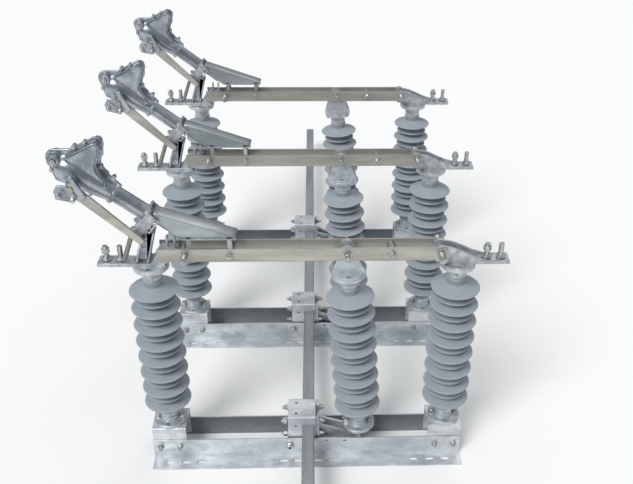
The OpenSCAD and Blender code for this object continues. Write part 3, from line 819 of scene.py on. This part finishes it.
class SWITCH_OT_insulators(bpy.types.Operator):
    """Builds the nine insulators, their end fittings and the bolts through their flanges"""
    bl_idname = "switch.insulators"
    bl_label = "Insulators"

    def execute(self, context):
        size = context.scene.switch_insulator
        nuts = context.scene.switch_hardware
        large = shed_object("shed_large", size.core, size.large, size.large_rise)
        small = shed_object("shed_small", size.core, size.small, size.small_rise)
        fitting = end_fitting(size)
        step = (INS_H - size.last - size.first) / (size.count - 1)
        down = Vector((LIFT_LEAN, 0, -math.sqrt(LIFT_LINK ** 2 - LIFT_LEAN ** 2))) / LIFT_LINK
        for pole, y in POLE_Y.items():
            shift = Vector((0, y, 0))
            stand = [shift + Vector((s * INS_X, 0, INS_LOW.z)) for s in (-1, 1)]
            hang = shift + Vector((LIFT.x, 0, LIFT.z)) + (CLEVIS_RISE + INS_H) * down
            for kind, feet, along, body, node in (
                    ("fixed", stand, UP, "base", "fixed_insulators_" + pole),
                    ("lift", [hang], -down, "lift_" + pole, "lift_insulator_" + pole)):
                sheds = nodes_piece(
                    f"{kind}_sheds_{pole}", "sheds", feet, [along] * len(feet), [],
                    {"Large Shed": large, "Small Shed": small, "Count": size.count, "First": size.first,
                     "Step": step}, "rubber")
                core = bmesh.new()
                ends = []
                bolts = []
                for foot in feet:
                    insulator_core(core, size, foot, along)
                    ends += [(foot, along), (foot + INS_H * along, -along)]
                    bolts += flange_holes(size, foot + size.flange_t * along, along, (1, 3))
                    bolts += flange_holes(size, foot + (INS_H - size.flange_t) * along, -along, (1, 3))
                rubber = merged(f"{kind}_rubber_{pole}", [sheds, as_object("core", core, "rubber", 60)])
                keep(rubber, body, "silicone_grey", node)
                keep(stand_ends(f"{kind}_end_fittings_{pole}", fitting, ends), body, "cast_fitting")
                keep(fasteners(f"{kind}_flange_bolts_{pole}", bolts, nuts.m12_flat, 8 * MM, 11 * MM, 5 * MM,
                               15 * MM, seed=3), body, "zinc_fastener")
        for master in (large, small, fitting):
            bpy.data.objects.remove(master)
        return {"FINISHED"}


def head_outline():
    """The interrupter head seen from the side, round its body, ear and horn."""
    at = lambda x, z: TUBE_TOP + Vector((x, 0, z)) * MM
    return (arc(at(-138, 104), 20 * MM, 78, 190)
            + [at(-142, 44), at(-22, -14), TUBE_TOP - 28 * MM * SQUARE, TUBE_TOP + 28 * MM * SQUARE]
            + arc(at(18, 86), 45 * MM, 238, 142, 10)
            + arc(at(-28, 142), 15 * MM, -30, 100)
            + [at(-70, 137), at(-98, 124)])


def loft(bm, stations, start, along, across, sides=40):
    """Adds a body with oval rings: stations hold (distance, half height, half width)."""
    rings = []
    for distance, tall, wide in stations:
        centre = start + distance * along
        if tall < 1e-6:
            rings.append([bm.verts.new(centre)])
            continue
        rings.append([bm.verts.new(centre + across * tall * math.cos(a) + Vector((0, wide * math.sin(a), 0)))
                      for a in (math.tau * i / sides for i in range(sides))])
    faces = skin(bm, rings, sides)
    if len(rings[0]) > 1:
        faces.append(bm.faces.new(rings[0]))
    bmesh.ops.recalc_face_normals(bm, faces=faces)


def head_shell(y):
    """The die-cast head: a tapered body, a horn with a sunk panel on each side, and the rim between halves."""
    at = lambda x, z: TUBE_TOP + Vector((x, 0, z)) * MM
    shift = Vector((0, y, 0))
    outline = head_outline()
    body = bmesh.new()
    lean = math.radians(34)
    along = Vector((-math.cos(lean), 0, math.sin(lean)))
    across = Vector((math.sin(lean), 0, math.cos(lean)))
    stations = [(0, 27, 27), (14, 28, 28), (34, 31, 30), (62, 35, 33), (96, 39, 34), (128, 40, 34), (146, 36, 31),
                (158, 28, 25), (165, 17, 15), (168, 0, 0)]
    loft(body, [(d * MM, a * MM, b * MM) for d, a, b in stations], TUBE_TOP + shift + 1 * MM * along, along, across)
    shell = [as_object("head_body", body, "shell", 50)]
    horn = bmesh.new()
    edge = ([at(-112, 110), at(-40, 40), at(-14, 24)] + arc(at(18, 86), 47 * MM, 232, 144, 8)
            + arc(at(-28, 141), 13 * MM, -28, 100, 6) + [at(-70, 134), at(-98, 121)])
    edge = [p + shift for p in edge]
    sides = prism(horn, edge, y - 30 * MM, y + 30 * MM)[:2]
    bmesh.ops.inset_individual(horn, faces=sides, thickness=7 * MM, depth=-7 * MM)
    shell.append(rounded(as_object("head_horn", horn, "shell"), 2.5 * MM, 3))
    rim = bmesh.new()
    prism(rim, [p + shift for p in grown(outline, 5 * MM)], y - 4 * MM, y + 4 * MM)
    shell.append(rounded(as_object("head_rim", rim, "shell"), 1.2 * MM))
    bosses = bmesh.new()
    for side in (-1, 1):
        lathe(bosses, [(0, 0), (17 * MM, 0), (17 * MM, 24 * MM), (14 * MM, 28 * MM), (8 * MM, 28 * MM),
                       (8 * MM, 25 * MM), (0, 25 * MM)], at(-138, 104) + shift, Vector((0, side, 0)), 32)
    lathe(bosses, [(0, 0), (19 * MM, 0), (19 * MM, 8 * MM), (12 * MM, 10 * MM), (12 * MM, 20 * MM), (0, 20 * MM)],
          Vector((CRANK.x, y - 26 * MM, CRANK.z)), Vector((0, -1, 0)), 32)
    lathe(bosses, [(23.2 * MM, -7 * MM), (28 * MM, -7 * MM), (30 * MM, -5 * MM), (30 * MM, 3 * MM), (28 * MM, 5 * MM),
                   (28 * MM, 24 * MM), (20 * MM, 26 * MM), (0, 26 * MM)], TUBE_TOP + shift, AXIS, 48)
    shell.append(as_object("head_bosses", bosses, "shell", 30))
    return shell


class SWITCH_OT_heads(bpy.types.Operator):
    """Builds the interrupter heads with the screws round their rims"""
    bl_idname = "switch.heads"
    bl_label = "Interrupter heads"

    def execute(self, context):
        nuts = context.scene.switch_hardware
        at = lambda x, z: TUBE_TOP + Vector((x, 0, z)) * MM
        ring = [at(-84, 136), at(-55, 147), at(-20, 128), at(-24, 78), at(6, 46), at(-95, 18), at(-60, 0),
                at(-152, 70)]
        for pole, y in POLE_Y.items():
            keep(merged("interrupter_shell_" + pole, head_shell(y)), "base", "interrupter_casting",
                 "interrupter_head_" + pole)
            screws = [(Vector((p.x, y + s * 4 * MM, p.z)), Vector((0, s, 0))) for p in ring for s in (-1, 1)]
            ear = [(at(-138, 104) + Vector((0, y + s * 25 * MM, 0)), Vector((0, s, 0))) for s in (-1, 1)]
            small = fasteners("rim_screws", screws, nuts.m6_flat, 4 * MM, 6 * MM, 2.5 * MM, 8 * MM, seed=5)
            large = fasteners("ear_bolts", ear, 14 * MM, 6 * MM, 7.5 * MM, 3.5 * MM, 11 * MM, seed=6)
            keep(merged("interrupter_screws_" + pole, [small, large]), "base", "zinc_fastener")
        return {"FINISHED"}


def on_tube(along, above):
    return TUBE_FOOT + along * MM * AXIS + above * MM * SQUARE


def channel(bm, y):
    """The bent channel that holds the tube: a web, and two legs that end in a slotted lip."""
    half = (MOUNT_HIGH.y - MOUNT_LOW.y) / 2
    thick = 5 * MM
    prism(bm, [on_tube(0, 23), on_tube(-5, 23), on_tube(-5, -62), on_tube(0, -62)], y - half, y + half)
    for side in (-1, 1):
        low, high = sorted((y + side * half, y + side * (half - thick)))
        prism(bm, [on_tube(-4, 23), on_tube(-4, -61), on_tube(-25, -42), on_tube(-25, 19)], low, high)
        for near, far in ((-24, -28), (-34, -38)):
            prism(bm, [on_tube(near, 17), on_tube(far, 17), on_tube(far, -30), on_tube(near, -30)], low, high)
        for rung in (15, 0, -14, -28):
            prism(bm, [on_tube(-26, rung + 2), on_tube(-36, rung + 2), on_tube(-36, rung - 2),
                       on_tube(-26, rung - 2)], low + 0.3 * MM, high - 0.3 * MM)


def post_ribs(bm, y):
    """The cast post: a web with a curved rib along each edge."""
    foot = -INS_X - 37 * MM
    left = [Vector((foot + a * MM, 0, PAD_Z + b * MM)) for a, b in ((0, 0), (5, 20), (9, 38), (16, 56), (26, 74))]
    left.append(on_tube(-2, -58))
    right = [Vector((-INS_X + a * MM, 0, PAD_Z + b * MM)) for a, b in ((1, 0), (6, 24), (12, 46), (18, 69), (25, 92))]
    right.append(on_tube(-30, -36))
    thick = Vector((7 * MM, 0, 0))
    half = 21.4 * MM
    for (a, b), (c, d) in zip(zip(left, left[1:]), zip(right, right[1:])):
        prism(bm, [a, b, d, c], y - 5 * MM, y + 5 * MM)
    for edge, wall in ((left, thick), (right, -thick)):
        prism(bm, edge + [p + wall for p in edge[::-1]], y - half, y + half)


class SWITCH_OT_brackets(bpy.types.Operator):
    """Builds what carries each interrupter: the post, the channel, the tube, the rod and its fingers"""
    bl_idname = "switch.brackets"
    bl_label = "Interrupter brackets"

    def execute(self, context):
        nuts = context.scene.switch_hardware
        for pole, y in POLE_Y.items():
            shift = Vector((0, y, 0))
            post = bmesh.new()
            post_ribs(post, y)
            for x in (-382, -361):             # contact fingers, from the contact up to the rod
                prism(post, [Vector((x + a, 0, z)) * MM for a, z in
                             ((-3, 752), (3, 752), (3, 788), (1.5, 793), (-1.5, 793), (-3, 788))],
                      y - 8 * MM, y + 8 * MM)
            bent = bmesh.new()
            channel(bent, y)
            turned = bmesh.new()
            lathe(turned, [(0, 0), (25 * MM, 0), (25 * MM, 3 * MM), (TUBE_R, 4 * MM), (TUBE_R, TUBE_LEN - 2 * MM),
                           (0, TUBE_LEN - 2 * MM)], TUBE_FOOT + shift, AXIS, 48)
            lathe(turned, [(0, 2 * MM), (14 * MM, 2 * MM), (14 * MM, 12 * MM), (12 * MM, 13 * MM), (12 * MM, 91 * MM),
                           (11 * MM, 94 * MM), (8 * MM, 96.5 * MM), (0, 97.5 * MM)], TUBE_FOOT + shift, -AXIS, 32)
            bolts = [(on_tube(0, -50) + Vector((0, y + w * MM, 0)), AXIS) for w in (-24, 24)]
            parts = [rounded(as_object("post", post, "cast"), 1.8 * MM, 2),
                     rounded(as_object("channel", bent, "cast"), 0.8 * MM, 1), as_object("tube", turned, "shell", 30),
                     fasteners("channel_bolts", bolts, nuts.m6_flat * 1.3, 5 * MM, 7.5 * MM, 4 * MM, 11 * MM, 7)]
            keep(merged("interrupter_mount_" + pole, parts), "base", "interrupter_tube",
                 "interrupter_bracket_" + pole)
        return {"FINISHED"}


class SWITCH_OT_levers(bpy.types.Operator):
    """Builds the crank plates that turn the interrupter levers, with their bolts"""
    bl_idname = "switch.levers"
    bl_label = "Levers"

    def execute(self, context):
        nuts = context.scene.switch_hardware
        for pole, y in POLE_Y.items():
            plate = bmesh.new()
            face = y + LEVER_LOW.y + 8 * MM     # front face of the lever
            for outline, front, back in (
                    (((-46, -6), (-34, 14), (-8, 12), (14, -22), (4, -38), (-38, -28)), 4, -1),
                    (((-4, 36), (9, 40), (38, -22), (24, -34)), 7, -1),
                    (((-38, -4), (-33, 5), (-14, -1), (-18, -10)), 7, 3)):
                prism(plate, [CRANK + Vector((x, 0, z)) * MM for x, z in outline],
                      face - front * MM, face - back * MM)
            places = [(Vector((CRANK.x + x * MM, face - 4 * MM, CRANK.z + z * MM)), Vector((0, -1, 0)))
                      for x, z in ((-34, -18), (2, -28))]
            bolts = fasteners("crank_bolts", places, 13 * MM, 5 * MM, 8 * MM, 4 * MM, 9 * MM, seed=9)
            crank = rounded(as_object("crank", plate, "shell"), 1.2 * MM)
            keep(merged("lever_crank_" + pole, [crank, bolts]), "lever_" + pole, "zinc_fastener")
        return {"FINISHED"}


def hood_sheet(y):
    """The bent hood: a sloping top, two tapering sides and an outward lip along each lower edge."""
    x0, x1 = HOOD_LOW.x, HOOD_HIGH.x
    z0, z1 = HOOD_HIGH.z - 1 * MM, HOOD_HIGH.z - 76 * MM
    low = z1 - 5 * MM
    cut = CONTACT_X - 6 * MM                   # where the lower edge starts
    half, bend = 25 * MM, 3.5 * MM
    bm = bmesh.new()
    rows = []
    for i in range(13):
        x = x0 + (x1 - x0) * i / 12
        top = z0 + (z1 - z0) * i / 12
        hang = top - 6 * MM + (low - z0 + 6 * MM) * min(1, (x - x0) / (cut - x0)) - (top - z0) * min(
            1, (x - x0) / (cut - x0))
        hang = min(hang, top - 5.5 * MM)
        lip = 6 * MM * min(1, max(0.05, (x - cut + 10 * MM) / (10 * MM)))
        row = [(-half - lip, hang), (-half, hang), (-half, top - bend)]
        row += [(-half + bend - bend * math.cos(a), top - bend + bend * math.sin(a))
                for a in (math.radians(d) for d in (30, 60, 90))]
        row += [(-w, z) for w, z in reversed(row)]
        rows.append([bm.verts.new((x, y + w, z)) for w, z in row])
    for one, two in zip(rows, rows[1:]):
        for i in range(len(one) - 1):
            bm.faces.new((one[i], one[i + 1], two[i + 1], two[i]))
    bmesh.ops.recalc_face_normals(bm, faces=bm.faces[:])
    top = max(bm.faces, key=lambda f: f.calc_center_median().z)
    if top.normal.z < 0:
        bmesh.ops.reverse_faces(bm, faces=bm.faces[:])
    sheet = as_object("hood", bm, "hood")
    wall = sheet.modifiers.new("Sheet", "SOLIDIFY")
    wall.thickness = 2.2 * MM
    wall.offset = -1
    return rounded(settle(sheet), 0.5 * MM, 1)


class SWITCH_OT_blades(bpy.types.Operator):
    """Builds the blades' hoods, and the bolts, springs and spacers through the bars"""
    bl_idname = "switch.blades"
    bl_label = "Blades"

    def execute(self, context):
        nuts = context.scene.switch_hardware
        z = HINGE.z
        for pole, y in POLE_Y.items():
            body = "blade_" + pole
            sides = [(y + s * BAR_HALF, Vector((0, s, 0))) for s in (-1, 1)]
            sprung = [(Vector((x, w, z)), a) for x in (CONTACT_X, HINGE.x) for w, a in sides]
            seats = [(p + 33 * MM * a, a) for p, a in sprung]
            lifted = [(Vector((LIFT.x, w, z)), a) for w, a in sides]
            plain = [(Vector((x, w, z)), a) for x in (CONTACT_X + FIRST_SPACER, LIFT.x + LAST_SPACER) for w, a in sides]
            springs = nodes_piece(
                "springs", "spring", [p + 3.5 * MM * a for p, a in sprung], [a for _, a in sprung], [],
                {"Coil Radius": nuts.spring_r, "Wire Radius": nuts.spring_wire, "Turns": nuts.spring_turns,
                 "Length": 28 * MM}, "zinc")
            spacers = bmesh.new()
            for x in (CONTACT_X, CONTACT_X + FIRST_SPACER, LIFT.x, LIFT.x + LAST_SPACER, HINGE.x):
                lathe(spacers, [(0, 0), (7.9 * MM, 0), (7.9 * MM, 2 * BAR_HALF), (0, 2 * BAR_HALF)],
                      Vector((x, y - BAR_HALF, z)), Vector((0, 1, 0)), 24)
            for x in (CONTACT_X + FIRST_SPACER, LIFT.x + LAST_SPACER):
                lathe(spacers, [(0, 0), (12 * MM, 0), (12 * MM, 44 * MM), (0, 44 * MM)],
                      Vector((x, y - 22 * MM, z)), Vector((0, 1, 0)), 24)
            parts = [
                springs,
                as_object("spacers", spacers, "zinc", 30),
                fasteners("spring_seats", sprung, 3 * MM, 1 * MM, 13 * MM, 6 * MM, 34 * MM, seed=11),
                fasteners("spring_nuts", seats, nuts.m12_flat * 0.9, 6 * MM, 11.5 * MM, 5.5 * MM, 11 * MM, seed=12),
                fasteners("lift_nuts", lifted, nuts.m12_flat, 12 * MM, 14 * MM, 7 * MM, 30 * MM, seed=13),
                fasteners("bar_nuts", plain, nuts.m10_flat, 8 * MM, 10 * MM, 5 * MM, 15 * MM, seed=14)]
            keep(merged("blade_hardware_" + pole, parts), body, "zinc_fastener", "blade_pins_" + pole)
            feet = bmesh.new()
            for x in (CONTACT_X + 6 * MM, CONTACT_X + 118 * MM):
                for s in (-1, 1):
                    low, high = sorted((y + s * 25 * MM, y + s * 22.5 * MM))
                    prism(feet, [Vector((x + a * MM, 0, b)) for a, b in
                                 ((0, BAR_HIGH.z), (14, BAR_HIGH.z), (14, BAR_HIGH.z + 38 * MM),
                                  (0, BAR_HIGH.z + 38 * MM))], low, high)
            keep(merged("hood_sheet_" + pole, [hood_sheet(y), rounded(as_object("feet", feet, "hood"), 0.5 * MM, 1)]),
                 body, "hood_sheet", "blade_hood_" + pole)
        return {"FINISHED"}


def smooth_path(points, steps=8):
    """A smooth line through points."""
    padded = [points[0]] + points + [points[-1]]
    path = []
    for a, b, c, d in zip(padded, padded[1:], padded[2:], padded[3:]):
        for i in range(steps):
            t = i / steps
            path.append(0.5 * (2 * b + (c - a) * t + (2 * a - 5 * b + 4 * c - d) * t ** 2
                               + (3 * b - a - 3 * c + d) * t ** 3))
    return path + [points[-1]]


class SWITCH_OT_terminals(bpy.types.Operator):
    """Builds the nuts, washers and threads of the terminal studs, and the shunt braids"""
    bl_idname = "switch.terminals"
    bl_label = "Terminals"

    def execute(self, context):
        nuts = context.scene.switch_hardware
        stud_len = LINE_HIGH.z - PAD_Z
        reach = INS_X + 144 * MM
        for pole, y in POLE_Y.items():
            studs = [Vector((s * (reach - x * MM), y, PAD_Z)) for s in (-1, 1) for x in (23, 63)]
            low = [(p, UP) for p in studs]
            tall = [(p + Vector((0, 0, 22 * MM)), UP) for p in studs[::3]]
            under = [(p - Vector((0, 0, 10 * MM)), -UP) for p in studs]
            parts = [
                fasteners("stud_threads", low, 20 * MM, 6 * MM, 14 * MM, 7.6 * MM, stud_len, seed=21),
                fasteners("stud_nuts", tall, 20 * MM, 11 * MM, 11 * MM, 6.4 * MM, 16 * MM, seed=22),
                fasteners("stud_heads", under, nuts.m12_flat, 7 * MM, 12 * MM, 4 * MM, 5 * MM, seed=23)]
            keep(merged("stud_hardware_" + pole, parts), "base", "zinc_fastener")
            path = [Vector((x * MM, y - 14 * MM, PAD_Z + z * MM)) for x, z in
                    ((-506, 7), (-501, 12), (-494, 30), (-486, 52), (-477, 76), (-468, 90), (-460, 96))]
            line = smooth_path(path)
            braid = nodes_piece(
                "shunt_braid_" + pole, "braid", line, None, [(i, i + 1) for i in range(len(line) - 1)],
                {"Width": nuts.braid_w, "Thickness": nuts.braid_t, "Strands": nuts.strands,
                 "Strand Radius": 1.5 * MM, "Windings": 2.5}, "braid")
            keep(braid, "base", "tinned_bar")
        return {"FINISHED"}


class SWITCH_OT_base_bolts(bpy.types.Operator):
    """Builds the bolts that hold the pedestals between the rails"""
    bl_idname = "switch.base_bolts"
    bl_label = "Base bolts"

    def execute(self, context):
        nuts = context.scene.switch_hardware
        for pole, y in POLE_Y.items():
            places = [(Vector((s * INS_X + x * MM, y + w * RAIL_HALF, 47 * MM)), Vector((0, w, 0)))
                      for s in (-1, 1) for x in (-30, 30) for w in (-1, 1)]
            keep(fasteners("pedestal_bolts_" + pole, places, nuts.m10_flat, 8 * MM, 10.5 * MM, 5 * MM, 20 * MM,
                           seed=31), "base", "zinc_fastener")
        return {"FINISHED"}


class SWITCH_OT_rockers(bpy.types.Operator):
    """Builds the bolts of the rocker clamps, the pivots and the foot pins"""
    bl_idname = "switch.rockers"
    bl_label = "Rockers"

    def execute(self, context):
        nuts = context.scene.switch_hardware
        right = TUBE_X + 34 * MM
        left = ROCKER_LOW.x
        for pole, y in POLE_Y.items():
            clamp = [(Vector((x, y + w * 32 * MM, z * MM)), Vector((a, 0, 0)))
                     for x, a in ((right, 1), (left, -1)) for w in (-1, 1) for z in (127, 76)]
            turn = [(Vector((ROCK.x, y + s * (RAIL_HALF + 1 * MM), ROCK.z)), Vector((0, s, 0))) for s in (-1, 1)]
            foot = [(Vector((166.5 * MM, y + s * 30 * MM, 47.65 * MM)), Vector((0, s, 0))) for s in (-1, 1)]
            parts = [
                fasteners("clamp_bolts", clamp, nuts.m10_flat, 8 * MM, 10.5 * MM, 5 * MM, 18 * MM, seed=41),
                fasteners("pivot_bolts", turn, nuts.m12_flat, 9 * MM, 13.5 * MM, 5.5 * MM, 13 * MM, seed=42),
                fasteners("foot_pins", foot, nuts.m10_flat, 6 * MM, 10 * MM, 4.5 * MM, 9 * MM, seed=43)]
            keep(merged("rocker_bolts_" + pole, parts), "drive", "zinc_fastener")
        return {"FINISHED"}


def studio_sky(scene):
    """Soft light from overhead, darker towards the horizon, so that metal has something to reflect."""
    world = bpy.data.worlds.new("studio")
    world.use_nodes = True
    tree = world.node_tree
    where = add(tree, "ShaderNodeTexCoord").outputs["Generated"]
    height = add(tree, "ShaderNodeSeparateXYZ", None, {"Vector": where}).outputs["Z"]
    glow = ranged(tree, height, 0.35, 0.95, 0.28, 0.95, "SMOOTHSTEP")
    tint = add(tree, "ShaderNodeVectorMath", {"operation": "SCALE"},
               {0: linear("#F6F9FC")[:3], "Scale": glow})
    tree.links.new(tint.outputs[0], tree.nodes["Background"].inputs["Color"])
    tree.nodes["Background"].inputs["Strength"].default_value = 0.8
    scene.world = world


class SWITCH_OT_stage(bpy.types.Operator):
    """Sets the floor, the soft lights and the camera"""
    bl_idname = "switch.stage"
    bl_label = "Stage"

    def execute(self, context):
        bm = bmesh.new()
        bmesh.ops.create_circle(bm, cap_ends=True, segments=96, radius=16)
        floor = as_object("floor", bm, "floor")
        studio_sky(context.scene)
        for name, place, spread, power in (
                ("key", (-2.6, -3.6, 4.6), 28, 2.1), ("back", (2.0, 4.0, 5.0), 40, 0.35)):
            light = bpy.data.lights.new(name, "SUN")
            light.energy = power
            light.angle = math.radians(spread)
            lamp = placed(name, light)
            lamp.location = place
            lamp.rotation_euler = (-Vector(place)).to_track_quat("-Z", "Y").to_euler()
        context.scene.view_settings.view_transform = "Standard"
        lens = bpy.data.cameras.new("camera")
        lens.lens = 46.25
        lens.sensor_width = 36
        lens.shift_x = -0.0403
        camera = placed("camera", lens)
        yaw, pitch, roll = 0.0371, 0.5403, 0.0119      # radians: to the right, down and clockwise
        eye = (0.03136, -2.5611, 1.9385)
        ahead = Vector((math.sin(yaw) * math.cos(pitch), math.cos(yaw) * math.cos(pitch), -math.sin(pitch)))
        across = Vector((math.cos(yaw), -math.sin(yaw), 0))
        above = across.cross(ahead)
        side = across * math.cos(roll) + above * math.sin(roll)
        top = above * math.cos(roll) - across * math.sin(roll)
        turn = Matrix((side, top, -ahead)).transposed()
        camera.matrix_world = Matrix.Translation(eye) @ turn.to_4x4()
        context.scene.camera = camera
        return {"FINISHED"}


class SWITCH_PT_parts(bpy.types.Panel):
    """Lists the steps that build the switch"""
    bl_idname = "SWITCH_PT_parts"
    bl_label = "Disconnect Switch"
    bl_space_type = "VIEW_3D"
    bl_region_type = "UI"
    bl_category = "Switch"

    def draw(self, context):
        for step in STEPS:
            self.layout.operator(step.bl_idname)


STEPS = (
    SWITCH_OT_finishes, SWITCH_OT_insulators, SWITCH_OT_heads, SWITCH_OT_brackets, SWITCH_OT_levers,
    SWITCH_OT_blades, SWITCH_OT_terminals, SWITCH_OT_base_bolts, SWITCH_OT_rockers, SWITCH_OT_stage)
GROUPS = {
    "switch_finishes": SWITCH_PG_finishes, "switch_insulator": SWITCH_PG_insulator,
    "switch_hardware": SWITCH_PG_hardware}


def register():
    for group in GROUPS.values():
        bpy.utils.register_class(group)
    for key, group in GROUPS.items():
        setattr(bpy.types.Scene, key, PointerProperty(type=group))
    for step in STEPS:
        bpy.utils.register_class(step)
    bpy.utils.register_class(SWITCH_PT_parts)


def unregister():
    bpy.utils.unregister_class(SWITCH_PT_parts)
    for step in reversed(STEPS):
        bpy.utils.unregister_class(step)
    for key, group in GROUPS.items():
        delattr(bpy.types.Scene, key)
        bpy.utils.unregister_class(group)


def main():
    register()
    for step in STEPS:
        family, name = step.bl_idname.split(".")
        getattr(getattr(bpy.ops, family), name)()


if __name__ == "__main__":
    main()
